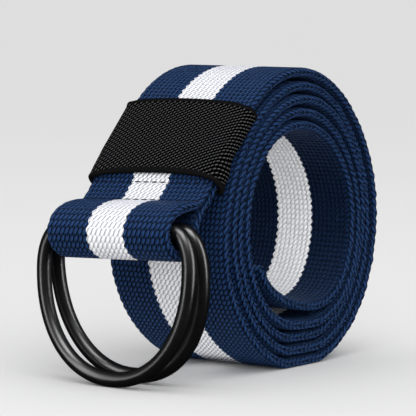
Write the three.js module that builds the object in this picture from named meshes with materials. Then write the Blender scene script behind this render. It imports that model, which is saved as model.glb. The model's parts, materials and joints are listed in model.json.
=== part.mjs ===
import * as THREE from 'three';

// A belt of woven webbing with two D-rings, rolled up and standing on its edge.
// Millimetres, +Z up. The coil's axis runs along Y, the rings hang in front, at -X,
// and the belt is rolled counter-clockwise outward as seen from -Y.

// Strap
const strapWidth = 38;
const strapThickness = 2.6;
const selvedgeShoulder = 0.8;
const selvedgeFlat = 0.5;

// Coil
const coilCentre = { x: 1, z: 41.5 };
const coilStep = 6;
const slopeStep = 0.5;
const tipAngle = 210 - 4 * 360;
const leaveAngle = 492;

// One row for each 45 degrees round the coil, counted from its back up over its top:
// the radius of the strap's outer face as it leaves the coil there, and the pitch of the turns.
const coilShape = [
  { angle: 0, radius: 42.5, pitch: 3.05 },
  { angle: 45, radius: 40.75, pitch: 3.26 },
  { angle: 90, radius: 41.9, pitch: 3.62 },
  { angle: 135, radius: 41.4, pitch: 3.1 },
  { angle: 180, radius: 43.3, pitch: 3.3 },
  { angle: 225, radius: 43.3, pitch: 3.1 },
  { angle: 270, radius: 44.7, pitch: 3.65 },
  { angle: 315, radius: 44.7, pitch: 3.05 },
];

// The outer turn stands off the turns inside it under the ring loop, and where it leaves for the keeper.
const outerTurn = [
  { angle: 162, standOff: 0 },
  { angle: 200, standOff: 1.2 },
  { angle: 250, standOff: 0 },
  { angle: 440, standOff: 0 },
  { angle: leaveAngle, standOff: 1.6 },
];

// The free tip inside the coil springs off the wall.
const tipSpring = [
  { angle: tipAngle, inward: 2.3 },
  { angle: tipAngle + 28, inward: 3.1 },
  { angle: tipAngle + 110, inward: 0 },
];

// Between these angles the lowest turn lies flat on the floor, and bends into the flat over
// this height. Each turn inside it is flattened less, by this share.
const floorArc = { from: 225, to: 315 };
const flatBlend = 0.4;
const flatFade = 0.25;

// Sewn end: the front layer's middle line, from where the strap leaves the coil down through
// the keeper to the lower row of stitches. The two rows of stitches press it thinner.
const pressed = 2.1;
const frontPath = [
  { x: -31.9, z: 67.6, thickness: strapThickness },
  { x: -37.3, z: 62.35, thickness: strapThickness },
  { x: -42.0, z: 57.8, thickness: strapThickness },
  { x: -45.2, z: 54.3, thickness: strapThickness },
  { x: -46.6, z: 52.2, thickness: pressed },
  { x: -51.5, z: 47.4, thickness: pressed },
];

// The loop's middle line, from the lower row of stitches round the ring bars.
const loopPath = [
  { x: -56.2, z: 46.7, thickness: strapThickness },
  { x: -60.0, z: 46.1, thickness: strapThickness },
  { x: -64.3, z: 44.2, thickness: strapThickness },
  { x: -66.3, z: 40.7, thickness: strapThickness },
  { x: -65.4, z: 37.4, thickness: strapThickness },
  { x: -62.3, z: 34.9, thickness: strapThickness },
  { x: -58.5, z: 34.1, thickness: strapThickness },
  { x: -55.2, z: 35.9, thickness: strapThickness },
  { x: -53.9, z: 39.1, thickness: strapThickness },
  { x: -52.7, z: 42.3, thickness: strapThickness },
];

// The strap twists on its way down, so that its edge at -Y hangs higher in the loop.
const loopTwist = 2;

// From the loop the strap goes up again behind its front layer for this length.
const foldBackLength = 14.5;
const foldBackGap = 0.15;
const endStep = 1.8;

// Keeper: a closed elastic band round the strap, one layer inside it above and two below.
const keeperLength = 26.4;
const keeperWall = 1;
const keeperClearance = 0.3;
const keeperRounding = 1;
const keeperEndSteps = 8;
// The band widens from one layer to two over this stretch above its lower rim.
const doubledBelow = 5.5;
const singleAbove = 10;

// D-rings: a straight bar inside the loop and a bow that reaches the floor.
const wireDiameter = 4;
const wireSides = 10;
const ringWidth = 50;
const ringHeight = 42.7;
const shoulderWidth = 5.2;
const shoulderHeight = 10;
const bowFullness = 2.15;
// Each ring's bar inside the loop, and how far the ring swings in front of hanging straight down.
const frontBar = { x: -62.15, y: 0.3, lean: 3 };
const backBar = { x: -57.75, y: 0.3, lean: -5.5 };

const navy = new THREE.MeshStandardMaterial({ color: 0x1c2f5c, roughness: 0.9 });
const black = new THREE.MeshStandardMaterial({ color: 0x1a1a1a, roughness: 0.85 });
const satinBlack = new THREE.MeshStandardMaterial({ color: 0x101010, roughness: 0.35, metalness: 0.6 });

const radians = THREE.MathUtils.degToRad;

// Smooth value of a column between the rows that lie round a full circle.
function roundTheCoil(column, angle) {
  const spacing = 360 / coilShape.length;
  const place = (((angle % 360) + 360) % 360) / spacing;
  const row = Math.floor(place);
  const t = place - row;
  const value = (offset) => coilShape[(row + offset + coilShape.length) % coilShape.length][column];
  const [before, here, next, after] = [value(-1), value(0), value(1), value(2)];
  const bend = 2 * before - 5 * here + 4 * next - after;
  const twist = 3 * here - before + after - 3 * next;
  return here + 0.5 * t * (next - before + t * (bend + t * twist));
}

// Value of a column between rows, eased from one row to the next and held past the ends.
function eased(rows, key, column, at) {
  if (at <= rows[0][key]) return rows[0][column];
  const next = rows.findIndex((row) => row[key] > at);
  if (next < 0) return rows[rows.length - 1][column];
  const from = rows[next - 1];
  const to = rows[next];
  const t = THREE.MathUtils.smoothstep(at, from[key], to[key]);
  return from[column] + (to[column] - from[column]) * t;
}

// Radius of the strap's outer face at an angle counted on through all the turns.
function spiralRadius(angle) {
  const turnsLeft = (leaveAngle - angle) / 360;
  const radius = roundTheCoil('radius', angle) - roundTheCoil('pitch', angle) * turnsLeft;
  const standOff = angle < outerTurn[0].angle ? 0 : eased(outerTurn, 'angle', 'standOff', angle);
  const last = tipSpring[tipSpring.length - 1];
  const inward = angle < last.angle ? eased(tipSpring, 'angle', 'inward', angle) : 0;
  return radius + standOff - inward;
}

// How far the floor lifts the turns at an angle, so that the lowest face lies flat on it.
function floorLift(angle) {
  const lowestTurn = ((angle % 360) + 360) % 360;
  if (lowestTurn < floorArc.from || lowestTurn > floorArc.to) return 0;
  const height = coilCentre.z + spiralRadius(lowestTurn) * Math.sin(radians(lowestTurn));
  const above = THREE.MathUtils.clamp(height + flatBlend, 0, 2 * flatBlend);
  const flattened = height > flatBlend ? height : above ** 2 / (4 * flatBlend);
  const turnsInside = Math.round((lowestTurn - angle) / 360);
  return (flattened - height) * (1 - flatFade * turnsInside);
}

// Point of the strap's outer face on the coil, in the XZ plane.
function coilPoint(angle) {
  const radius = spiralRadius(angle);
  const x = coilCentre.x + radius * Math.cos(radians(angle));
  const z = coilCentre.z + radius * Math.sin(radians(angle)) + floorLift(angle);
  return new THREE.Vector2(x, z);
}

// Stations of the strap on the coil: middle line, outward normal and thickness.
function coilStations() {
  const stations = [];
  for (let angle = tipAngle; angle <= leaveAngle; angle += coilStep) {
    const face = coilPoint(angle);
    const ahead = coilPoint(angle + slopeStep).sub(coilPoint(angle - slopeStep)).normalize();
    const normal = new THREE.Vector2(ahead.y, -ahead.x);
    const middle = face.clone().addScaledVector(normal, -strapThickness / 2);
    stations.push({ middle, normal, thickness: strapThickness, twist: 0 });
  }
  return stations;
}

// Stations along a smooth curve through rows, from one of them to another, the first left out.
function curveStations(rows, from, to) {
  const points = rows.map((row) => new THREE.Vector3(row.x, row.thickness, row.z));
  const curve = new THREE.CatmullRomCurve3(points, false, 'centripetal');
  const stations = [];
  for (let i = from; i < to; i += 1) {
    const steps = Math.ceil(points[i].distanceTo(points[i + 1]) / endStep);
    for (let j = 1; j <= steps; j += 1) {
      const t = (i + j / steps) / (rows.length - 1);
      const point = curve.getPoint(t);
      const tangent = curve.getTangent(t);
      const normal = new THREE.Vector2(tangent.z, -tangent.x).normalize();
      const middle = new THREE.Vector2(point.x, point.z);
      stations.push({ middle, normal, thickness: point.y, twist: loopTwist });
    }
  }
  return stations;
}

function rowOf(station) {
  return { x: station.middle.x, z: station.middle.y, thickness: station.thickness };
}

// The station of the folded-back layer behind a station of the front layer.
function behind({ middle, normal, thickness, twist }) {
  const moved = middle.clone().addScaledVector(normal, -thickness - foldBackGap);
  return { middle: moved, normal: normal.clone().negate(), thickness, twist };
}

// How far each station lies past the first, measured along the strap.
function distances(stations) {
  const list = [0];
  for (let i = 1; i < stations.length; i += 1) {
    list.push(list[i - 1] + stations[i].middle.distanceTo(stations[i - 1].middle));
  }
  return list;
}

// Stations of the front layer, from the coil's last station down to the lower row of stitches.
function frontStations(onCoil) {
  const rows = [...onCoil.slice(-2).map(rowOf), ...frontPath, loopPath[0]];
  const front = [onCoil[onCoil.length - 1], ...curveStations(rows, 1, frontPath.length + 1)];
  const past = distances(front);
  const twistAt = (distance) => loopTwist * THREE.MathUtils.smoothstep(distance, 0, keeperLength);
  return front.map((station, i) => ({ ...station, twist: twistAt(past[i]) }));
}

// Point of a station's section, across the strap and off its middle line.
function placed({ middle, normal, twist }, across, off) {
  const drop = across * Math.tan(radians(twist));
  return new THREE.Vector3(middle.x + normal.x * off, across, middle.y + normal.y * off - drop);
}

// Stations from the lower row of stitches round the loop and up behind the front layer.
function loopStations(front) {
  const upwards = [...front].reverse();
  const stitched = upwards[0];
  const rows = [frontPath[frontPath.length - 2], rowOf(stitched), ...loopPath];
  rows.push(rowOf(behind(stitched)), rowOf(behind(upwards[1])));
  const loop = curveStations(rows, 1, loopPath.length + 2);
  const covered = distances(upwards);
  const folded = upwards.filter((station, i) => covered[i] <= foldBackLength).map(behind);
  return [...loop.slice(0, -1), ...folded];
}

// A closed solid through sections of equal length, joined end to end or capped.
function loft(sections, joined) {
  const sides = sections[0].length;
  const positions = sections.flat().flatMap((p) => [p.x, p.y, p.z]);
  const index = [];
  const steps = joined ? sections.length : sections.length - 1;
  for (let i = 0; i < steps; i += 1) {
    const here = i * sides;
    const next = ((i + 1) % sections.length) * sides;
    for (let j = 0; j < sides; j += 1) {
      const k = (j + 1) % sides;
      index.push(here + j, here + k, next + k);
      index.push(here + j, next + k, next + j);
    }
  }
  if (!joined) {
    const end = (sections.length - 1) * sides;
    for (let j = 1; j < sides - 1; j += 1) {
      index.push(0, j + 1, j);
      index.push(end, end + j, end + j + 1);
    }
  }
  let volume = 0;
  const corner = (n) => new THREE.Vector3().fromArray(positions, 3 * n);
  for (let i = 0; i < index.length; i += 3) {
    volume += corner(index[i]).dot(corner(index[i + 1]).cross(corner(index[i + 2])));
  }
  if (volume < 0) index.reverse();
  const geometry = new THREE.BufferGeometry();
  geometry.setAttribute('position', new THREE.Float32BufferAttribute(positions, 3));
  geometry.setIndex(index);
  geometry.computeVertexNormals();
  return geometry;
}

// Section of the strap at a station: flat faces and two blunt selvedges.
function strapSection(station) {
  const edge = strapWidth / 2;
  const flat = edge - selvedgeShoulder;
  const face = station.thickness / 2;
  const outline = [
    [-flat, face],
    [flat, face],
    [edge, selvedgeFlat],
    [edge, -selvedgeFlat],
    [flat, -face],
    [-flat, -face],
    [-edge, -selvedgeFlat],
    [-edge, selvedgeFlat],
  ];
  return outline.map(([across, off]) => placed(station, across, off));
}

function webbing(stations) {
  return loft(stations.map(strapSection), false);
}

// The band's outline across the strap: flat front and back with round ends.
function bandOutline(front, back, rounding) {
  const middle = (front + back) / 2;
  const rise = (front - back) / 2;
  const flat = strapWidth / 2 - selvedgeShoulder + keeperClearance;
  const outline = [];
  for (const side of [1, -1]) {
    for (let i = 0; i <= keeperEndSteps; i += 1) {
      const turn = Math.PI * (0.5 - i / keeperEndSteps);
      outline.push([side * (flat + rounding * Math.cos(turn)), middle + side * rise * Math.sin(turn)]);
    }
  }
  return outline;
}

// The band along the front layer's stations, from its upper rim to its lower.
function keeper(front) {
  const outer = [];
  const inner = [];
  distances(front).forEach((distance, i) => {
    if (distance > keeperLength) return;
    const aboveRim = keeperLength - distance;
    const doubled = 1 - THREE.MathUtils.smoothstep(aboveRim, doubledBelow, singleAbove);
    const face = strapThickness / 2 + keeperClearance;
    const back = -face - doubled * (strapThickness + foldBackGap);
    const place = ([across, off]) => placed(front[i], across, off);
    inner.push(bandOutline(face, back, keeperRounding).map(place));
    outer.push(bandOutline(face + keeperWall, back - keeperWall, keeperRounding + keeperWall).map(place));
  });
  const walls = [];
  for (let j = 0; j < inner[0].length; j += 1) {
    const outside = outer.map((section) => section[j]);
    const inside = inner.map((section) => section[j]).reverse();
    walls.push([...outside, ...inside]);
  }
  return loft(walls, true);
}

// Middle line of a D-ring's wire: x across and y down from the middle of its bar.
function ringLine() {
  const half = (ringWidth - wireDiameter) / 2;
  const depth = ringHeight - wireDiameter;
  const points = [];
  const shoulderSteps = 6;
  const bowSteps = 26;
  const barEnd = half - shoulderWidth;
  for (let i = 0; i <= shoulderSteps; i += 1) {
    const turn = (Math.PI / 2) * (i / shoulderSteps);
    points.push([barEnd + shoulderWidth * Math.sin(turn), shoulderHeight * (1 - Math.cos(turn))]);
  }
  for (let i = 1; i < bowSteps; i += 1) {
    const turn = Math.PI * (i / bowSteps);
    const cosine = Math.cos(turn);
    const across = Math.sign(cosine) * Math.abs(cosine) ** (2 / bowFullness) * half;
    const down = shoulderHeight + Math.sin(turn) ** (2 / bowFullness) * (depth - shoulderHeight);
    points.push([across, down]);
  }
  for (let i = 0; i <= shoulderSteps; i += 1) {
    const turn = (Math.PI / 2) * (1 - i / shoulderSteps);
    points.push([-barEnd - shoulderWidth * Math.sin(turn), shoulderHeight * (1 - Math.cos(turn))]);
  }
  points.push([0, 0]);
  return points;
}

// A D-ring with its bar's middle at the origin, hanging straight down.
function dRing() {
  const line = ringLine();
  const radius = wireDiameter / 2;
  const sections = line.map((point, i) => {
    const before = line[(i + line.length - 1) % line.length];
    const after = line[(i + 1) % line.length];
    const tangent = new THREE.Vector2(after[0] - before[0], after[1] - before[1]).normalize();
    const section = [];
    for (let j = 0; j < wireSides; j += 1) {
      const turn = (2 * Math.PI * (j + 0.5)) / wireSides;
      const inPlane = radius * Math.cos(turn);
      const throughPlane = radius * Math.sin(turn);
      const across = point[0] + tangent.y * inPlane;
      const down = point[1] - tangent.x * inPlane;
      section.push(new THREE.Vector3(throughPlane, across, -down));
    }
    return section;
  });
  return loft(sections, true);
}

// A named ring on its bar, swung by its lean and standing on the floor.
function standingRing(name, bar) {
  const mesh = new THREE.Mesh(dRing(), satinBlack);
  mesh.name = name;
  mesh.rotation.set(radians(-loopTwist), radians(bar.lean), 0);
  mesh.position.set(bar.x, bar.y, 0);
  mesh.updateMatrixWorld();
  const lowest = new THREE.Box3().setFromObject(mesh, true).min.z;
  mesh.position.z = -lowest;
  return mesh;
}

const onCoil = coilStations();
const front = frontStations(onCoil);
const stations = [...onCoil, ...front.slice(1), ...loopStations(front)];

const strap = new THREE.Mesh(webbing(stations), navy);
strap.name = 'webbing';
const band = new THREE.Mesh(keeper(front), black);
band.name = 'keeper';

const belt = new THREE.Group();
belt.add(strap);
belt.add(band);
belt.add(standingRing('d_ring_front', frontBar));
belt.add(standingRing('d_ring_back', backBar));

// The origin is on the floor under the middle of the whole belt.
const middle = new THREE.Box3().setFromObject(belt, true).getCenter(new THREE.Vector3());
belt.position.set(-middle.x, -middle.y, 0);

export default belt;
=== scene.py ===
# %% [markdown]
# A woven belt is a long strap of cotton webbing. This one is rolled up and stands on its
# edge like a wheel. Its outer end comes down the front, passes through an elastic keeper
# and is sewn into a loop round two D-rings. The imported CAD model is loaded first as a
# fixed frame: it says where each piece is, and each soft piece built here takes the place
# of its plain CAD stand-in.

import json
import math

import bpy
import numpy as np
from mathutils import Matrix, Vector


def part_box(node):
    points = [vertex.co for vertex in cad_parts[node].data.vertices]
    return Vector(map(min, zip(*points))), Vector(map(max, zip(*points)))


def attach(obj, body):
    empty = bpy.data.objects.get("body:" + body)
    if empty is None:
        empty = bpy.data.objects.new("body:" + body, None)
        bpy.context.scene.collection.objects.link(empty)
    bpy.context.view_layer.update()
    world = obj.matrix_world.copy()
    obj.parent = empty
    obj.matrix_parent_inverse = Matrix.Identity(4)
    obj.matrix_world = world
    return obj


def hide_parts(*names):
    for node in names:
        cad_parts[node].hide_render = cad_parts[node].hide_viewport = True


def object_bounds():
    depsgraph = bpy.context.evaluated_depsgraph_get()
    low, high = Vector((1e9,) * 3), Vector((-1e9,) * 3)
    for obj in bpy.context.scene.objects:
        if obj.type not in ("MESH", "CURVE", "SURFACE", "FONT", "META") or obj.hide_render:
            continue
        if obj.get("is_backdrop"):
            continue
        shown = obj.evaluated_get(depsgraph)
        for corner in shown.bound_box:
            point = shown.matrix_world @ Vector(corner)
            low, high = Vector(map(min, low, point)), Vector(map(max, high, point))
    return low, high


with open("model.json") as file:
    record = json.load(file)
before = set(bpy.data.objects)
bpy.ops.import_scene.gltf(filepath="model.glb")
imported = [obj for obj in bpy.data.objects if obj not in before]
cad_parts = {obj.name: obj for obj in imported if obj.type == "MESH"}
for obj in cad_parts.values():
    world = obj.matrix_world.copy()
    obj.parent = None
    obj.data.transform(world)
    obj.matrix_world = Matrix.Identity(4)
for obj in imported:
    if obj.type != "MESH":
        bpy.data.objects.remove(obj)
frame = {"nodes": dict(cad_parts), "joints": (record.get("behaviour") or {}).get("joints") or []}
cad_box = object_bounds()
MM = 0.001
print("CAD nodes:", sorted(frame["nodes"]))

# %% [markdown]
# The camera looks from the front left, a little above the belt, through a long lens that
# hardly shows perspective. It is set by the place where one known point of the belt shows
# in a square picture, so the view can be checked with a ruler and a protractor.

# %% Camera
AZIMUTH = math.radians(-57)
ELEVATION = math.radians(4.2)
ROLL = math.radians(1.2)
PICTURE_SIDE = 416
FOCAL_PIXELS = 2200
AIM_POINT = Vector((12.6, -18.95, 41.55)) * MM
AIM_PIXEL = (303, 218)
AIM_DEPTH = 610 * MM

level_right = Vector((math.cos(AZIMUTH), math.sin(AZIMUTH), 0))
back = Vector((
    math.sin(AZIMUTH) * math.cos(ELEVATION),
    -math.cos(AZIMUTH) * math.cos(ELEVATION),
    math.sin(ELEVATION),
))
level_up = back.cross(level_right)
right = level_right * math.cos(ROLL) + level_up * math.sin(ROLL)
up = level_up * math.cos(ROLL) - level_right * math.sin(ROLL)
pixel_size = AIM_DEPTH / FOCAL_PIXELS
across_picture = (AIM_PIXEL[0] - PICTURE_SIDE / 2) * pixel_size
up_picture = (PICTURE_SIDE / 2 - AIM_PIXEL[1]) * pixel_size

camera = bpy.data.objects.new("camera", bpy.data.cameras.new("camera"))
bpy.context.scene.collection.objects.link(camera)
camera.data.sensor_width = 36
camera.data.lens = camera.data.sensor_width * FOCAL_PIXELS / PICTURE_SIDE
camera.data.clip_end = 100
turned = Matrix((right, up, back)).transposed().to_4x4()
eye = AIM_POINT + back * AIM_DEPTH - right * across_picture - up * up_picture
camera.matrix_world = Matrix.Translation(eye) @ turned
bpy.context.scene.camera = camera
print("camera at", [round(c / MM, 1) for c in eye], "mm, lens", round(camera.data.lens, 1))

# %% [markdown]
# The studio is a wide pale floor under an even sky, with one very soft light from above
# and to the left. The sky that the camera sees behind the floor has just the brightness
# that the lit floor has, so no horizon shows. Glossy rays see almost no sky, so that the
# rings stay black and mirror only the lamps that are meant for them.

# %% Studio
FLOOR_WHITENESS = 0.74
SKY = 0.82
SKY_IN_GLOSS = 0.004
SOFT_LIGHT = 0.6
SOFT_LIGHT_FROM = Vector((-0.5, -0.2, 1.0)).normalized()
SOFT_LIGHT_SPREAD = math.radians(80)

bpy.context.scene.view_settings.view_transform = "Standard"


def put(name, data):
    """Makes an object of some data and puts it in the scene."""
    thing = bpy.data.objects.new(name, data)
    bpy.context.scene.collection.objects.link(thing)
    return thing


def aim(thing, place, target):
    """Stands a lamp at a place and points it at a target."""
    thing.location = place
    thing.rotation_mode = "QUATERNION"
    thing.rotation_quaternion = (Vector(target) - Vector(place)).to_track_quat("-Z", "Y")


sun = put("soft_light", bpy.data.lights.new("soft_light", "SUN"))
sun.data.energy = SOFT_LIGHT
sun.data.angle = SOFT_LIGHT_SPREAD
aim(sun, SOFT_LIGHT_FROM, (0, 0, 0))
floor_light = SKY + SOFT_LIGHT * SOFT_LIGHT_FROM.z / math.pi
floor_brightness = FLOOR_WHITENESS * floor_light

world = bpy.data.worlds.new("studio")
bpy.context.scene.world = world
world.use_nodes = True
sky_nodes = world.node_tree.nodes
sky_links = world.node_tree.links
sky_nodes.clear()
rays = sky_nodes.new("ShaderNodeLightPath")
skies = {}
for name, strength in (("even", SKY), ("gloss", SKY_IN_GLOSS), ("seen", floor_brightness)):
    sky = sky_nodes.new("ShaderNodeBackground")
    sky.inputs["Color"].default_value = (1, 1, 1, 1)
    sky.inputs["Strength"].default_value = strength
    skies[name] = sky.outputs[0]
gloss_mix = sky_nodes.new("ShaderNodeMixShader")
seen_mix = sky_nodes.new("ShaderNodeMixShader")
sky_out = sky_nodes.new("ShaderNodeOutputWorld")
sky_links.new(rays.outputs["Is Glossy Ray"], gloss_mix.inputs[0])
sky_links.new(skies["even"], gloss_mix.inputs[1])
sky_links.new(skies["gloss"], gloss_mix.inputs[2])
sky_links.new(rays.outputs["Is Camera Ray"], seen_mix.inputs[0])
sky_links.new(gloss_mix.outputs[0], seen_mix.inputs[1])
sky_links.new(skies["seen"], seen_mix.inputs[2])
sky_links.new(seen_mix.outputs[0], sky_out.inputs["Surface"])
print("far floor brightness", round(floor_brightness, 3))

# %% [markdown]
# A broad fill light stands on the camera's side and opens the shadows on the near faces,
# and a weak one overhead leaves a pool of light on the near floor. The rings don't mirror
# either. Three soft boxes do the opposite: they give the long highlights on the rings and
# light nothing else.

# %% Fill lights
FILL_LIGHTS_AT = (0, 0, 0.04)
FILL_LIGHTS = [
    {"name": "fill_light", "place": (-0.98, -0.68, 0.22), "side": 1.2, "power": 10.0},
    {"name": "pool_light", "place": (-0.3, -0.25, 1.0), "side": 0.9, "power": 1.1},
]
for lamp in FILL_LIGHTS:
    fill = put(lamp["name"], bpy.data.lights.new(lamp["name"], "AREA"))
    fill.data.size = lamp["side"]
    fill.data.energy = lamp["power"]
    fill.visible_glossy = False
    aim(fill, lamp["place"], FILL_LIGHTS_AT)
print("fill lights:", [lamp["name"] for lamp in FILL_LIGHTS])

# %% Soft boxes for the rings
SOFT_BOXES_AT = (-0.05, 0, 0.03)
SOFT_BOXES = [
    {"name": "left_box", "place": (-0.75, 0.35, 0.35), "size": (0.3, 0.9), "power": 6},
    {"name": "right_box", "place": (0.10, -0.85, 0.30), "size": (0.3, 0.9), "power": 8},
    {"name": "top_box", "place": (-0.45, -0.30, 0.80), "size": (0.6, 0.6), "power": 11},
]
for box in SOFT_BOXES:
    light = put(box["name"], bpy.data.lights.new(box["name"], "AREA"))
    light.data.shape = "RECTANGLE"
    light.data.size, light.data.size_y = box["size"]
    light.data.energy = box["power"]
    aim(light, box["place"], SOFT_BOXES_AT)
    light.visible_diffuse = False
print("soft boxes:", [box["name"] for box in SOFT_BOXES])

# %% [markdown]
# The floor is matt and pale. Only the camera sees it: the rings don't mirror it, and the
# belt's undersides are lit through it by the even sky, as they are in a white studio where
# the whole room glows. That would also leave the coil's foot bright, so a small dark card
# lies just under the floor there as a painted shadow and darkens what nearly touches it.

# %% Floor, and a dark card under the coil as a painted shadow
FLOOR_HALF = 20.0
CARD_LEFT, CARD_RIGHT = -3 * MM, 30 * MM
CARD_HALF_WIDTH = 19 * MM
CARD_DEPTH = 0.05 * MM
CARD_WHITENESS = 0.03


def new_material(name):
    material = bpy.data.materials.new(name)
    material.use_nodes = True
    return material, material.node_tree, material.node_tree.nodes["Principled BSDF"]


def matt_sheet(name, left, right, half_width, height, whiteness):
    """A flat rectangle with a plain matt material, which no glossy ray sees."""
    mesh = bpy.data.meshes.new(name)
    corners = [(left, -half_width), (right, -half_width), (right, half_width), (left, half_width)]
    mesh.from_pydata([(*corner, height) for corner in corners], [], [(0, 1, 2, 3)])
    material, _, shader = new_material(name)
    shader.inputs["Base Color"].default_value = (whiteness,) * 3 + (1,)
    shader.inputs["Roughness"].default_value = 1
    shader.inputs["Specular IOR Level"].default_value = 0
    mesh.materials.append(material)
    sheet = put(name, mesh)
    sheet.visible_glossy = False
    return sheet


floor = matt_sheet("floor", -FLOOR_HALF, FLOOR_HALF, FLOOR_HALF, 0, FLOOR_WHITENESS)
floor.visible_diffuse = False
floor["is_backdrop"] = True
# Painted shadow: a dark sheet under the floor where the coil's foot stands.
card = matt_sheet("shadow_card", CARD_LEFT, CARD_RIGHT, CARD_HALF_WIDTH, -CARD_DEPTH, CARD_WHITENESS)
card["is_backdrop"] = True
print("card under the coil:", round((CARD_RIGHT - CARD_LEFT) / MM), "mm long")

# %% [markdown]
# The strap is one band, and everything about it follows a line: the middle of its
# thickness, seen from the side. On the coil the line is a spiral whose radius and pitch
# change slowly round the turn, as no hand rolls a perfect circle. The numbers are those of
# the CAD part, in millimetres, so the fine strap made here lies where the plain one does.

# %% The coil's line
STRAP_WIDTH = 38
STRAP_THICKNESS = 2.6
COIL_CENTRE = (1, 41.5)
TIP_ANGLE = 210 - 4 * 360
LEAVE_ANGLE = 492
COIL_RADIUS = [42.5, 40.75, 41.9, 41.4, 43.3, 43.3, 44.7, 44.7]
COIL_PITCH = [3.05, 3.26, 3.62, 3.1, 3.3, 3.1, 3.65, 3.05]
OUTER_TURN = [(162, 0), (200, 1.2), (250, 0), (440, 0), (LEAVE_ANGLE, 1.6)]
TIP_SPRING = [(TIP_ANGLE, 2.3), (TIP_ANGLE + 28, 3.1), (TIP_ANGLE + 110, 0)]
FLOOR_ARC = (225, 315)
FLAT_BLEND = 0.4
FLAT_FADE = 0.25
ANGLE_STEP = 0.5
CAD_STEP = 6


def round_the_coil(values, angle):
    """Smooth value between the eight that lie round a full circle."""
    place = (angle % 360) / 360 * len(values)
    row = int(place)
    t = place - row
    before, here, after, last = (values[(row + i) % len(values)] for i in (-1, 0, 1, 2))
    bend = 2 * before - 5 * here + 4 * after - last
    twist = 3 * here - before + last - 3 * after
    return here + 0.5 * t * (after - before + t * (bend + t * twist))


def eased(rows, at):
    """Value between rows of (place, value), eased from one to the next."""
    if at <= rows[0][0]:
        return rows[0][1]
    for (start, low), (end, high) in zip(rows, rows[1:]):
        if at < end:
            t = (at - start) / (end - start)
            return low + (high - low) * t * t * (3 - 2 * t)
    return rows[-1][1]


def spiral_radius(angle):
    """Distance of the strap's outer face from the coil's centre."""
    turns_left = (LEAVE_ANGLE - angle) / 360
    radius = round_the_coil(COIL_RADIUS, angle) - round_the_coil(COIL_PITCH, angle) * turns_left
    if angle >= OUTER_TURN[0][0]:
        radius += eased(OUTER_TURN, angle)
    if angle < TIP_SPRING[-1][0]:
        radius -= eased(TIP_SPRING, angle)
    return radius


def floor_lift(angle):
    """How far the floor lifts the turns at an angle."""
    lowest = angle % 360
    if not FLOOR_ARC[0] <= lowest <= FLOOR_ARC[1]:
        return 0
    height = COIL_CENTRE[1] + spiral_radius(lowest) * math.sin(math.radians(lowest))
    above = min(max(height + FLAT_BLEND, 0), 2 * FLAT_BLEND)
    flattened = height if height > FLAT_BLEND else above**2 / (4 * FLAT_BLEND)
    return (flattened - height) * (1 - FLAT_FADE * round((lowest - angle) / 360))


def coil_point(angle):
    """Point of the strap's outer face on the coil."""
    radius = spiral_radius(angle)
    turn = math.radians(angle)
    x = COIL_CENTRE[0] + radius * math.cos(turn)
    return np.array((x, COIL_CENTRE[1] + radius * math.sin(turn) + floor_lift(angle)))


def side_of(ahead):
    """Unit normals on the right of steps in the XZ plane."""
    normal = np.stack((ahead[..., 1], -ahead[..., 0]), -1)
    return normal / np.linalg.norm(normal, axis=-1, keepdims=True)


coil_angles = np.arange(TIP_ANGLE, LEAVE_ANGLE + ANGLE_STEP / 2, ANGLE_STEP)
coil_face = np.array([coil_point(a) for a in coil_angles])
coil_ahead = np.array([coil_point(a + ANGLE_STEP) - coil_point(a - ANGLE_STEP) for a in coil_angles])
coil_middle = coil_face - side_of(coil_ahead) * STRAP_THICKNESS / 2
cad_reach = max(coil_point(a)[0] for a in range(TIP_ANGLE, LEAVE_ANGLE + 1, CAD_STEP))
webbing_low, webbing_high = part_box("webbing")
shift_x = webbing_high.x / MM - cad_reach
shift_y = (webbing_low.y + webbing_high.y) / 2 / MM
print("coil line has", len(coil_middle), "points, shifted by", round(shift_x, 3), round(shift_y, 3))

# %% [markdown]
# From the coil the strap runs down the front, under the keeper, to the two rows of
# stitches, then round the ring bars and up behind itself. A curve through a few measured
# points carries it. The layer behind is the front layer moved back by its own thickness.

# %% The sewn end's line
PRESSED = 2.1
FRONT_PATH = [
    (-31.9, 67.6, STRAP_THICKNESS),
    (-37.3, 62.35, STRAP_THICKNESS),
    (-42.0, 57.8, STRAP_THICKNESS),
    (-45.2, 54.3, STRAP_THICKNESS),
    (-46.6, 52.2, PRESSED),
    (-51.5, 47.4, PRESSED),
]
LOOP_PATH = [
    (-56.2, 46.7),
    (-60.0, 46.1),
    (-64.3, 44.2),
    (-66.3, 40.7),
    (-65.4, 37.4),
    (-62.3, 34.9),
    (-58.5, 34.1),
    (-55.2, 35.9),
    (-53.9, 39.1),
    (-52.7, 42.3),
]
LOOP_TWIST = 2
FOLD_BACK_LENGTH = 14.5
FOLD_BACK_GAP = 0.15
KEEPER_LENGTH = 26.4
CURVE_STEPS = 24


def curve_through(rows, first, last):
    """Points of a smooth curve from one row to another, the first left out."""
    rows = np.array(rows, float)
    points = []
    for i in range(first, last):
        before, here, after = rows[i - 1], rows[i], rows[i + 1]
        beyond = rows[i + 2] if i + 2 < len(rows) else 2 * after - here
        d0 = np.linalg.norm(here - before) ** 0.5
        d1 = np.linalg.norm(after - here) ** 0.5
        d2 = np.linalg.norm(beyond - after) ** 0.5
        start = (here - before) / d0 - (after - before) / (d0 + d1) + (after - here) / d1
        end = (after - here) / d1 - (beyond - here) / (d1 + d2) + (beyond - after) / d2
        start, end = start * d1, end * d1
        for t in np.arange(1, CURVE_STEPS + 1) / CURVE_STEPS:
            square = 3 * (after - here) - 2 * start - end
            cube = 2 * (here - after) + start + end
            points.append(here + t * (start + t * (square + t * cube)))
    return np.array(points)


def lengths_along(points):
    """Length of a line of points up to each of them."""
    return np.concatenate(([0], np.cumsum(np.linalg.norm(np.diff(points, axis=0), axis=1))))


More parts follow.
